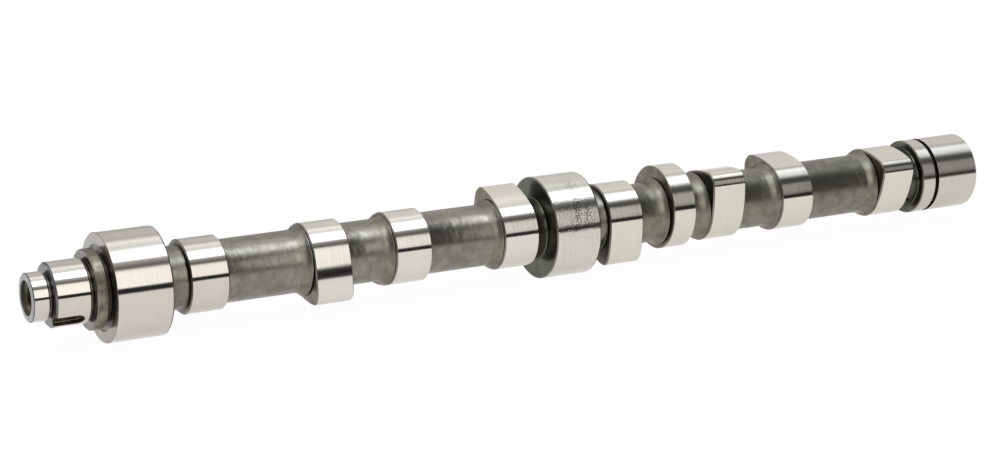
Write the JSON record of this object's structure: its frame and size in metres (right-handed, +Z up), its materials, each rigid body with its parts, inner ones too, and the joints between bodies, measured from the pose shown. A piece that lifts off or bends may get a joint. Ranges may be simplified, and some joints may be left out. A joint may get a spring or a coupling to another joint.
{
  "type": "camshaft",
  "caption": "Overhead-valve engine camshaft: bearing journals, cam lobes, a fuel pump eccentric and a keyed front seat for the timing pulley, turned and ground from one piece.",
  "frame": {"origin": "on the shaft's axis, in the middle of the front journal's bearing surface", "axes": "+X runs along the axis towards the rear journal, level as the bearings carry it, and +Z is up in the turn of the shaft that the picture shows"},
  "size_m": [0.4824, 0.048, 0.048],
  "materials": {
    "ground_steel": "journals and lobes ground bright, core turned and darker"
  },
  "bodies": {
    "root": {"camshaft": "ground_steel"}
  },
  "joints": []
}
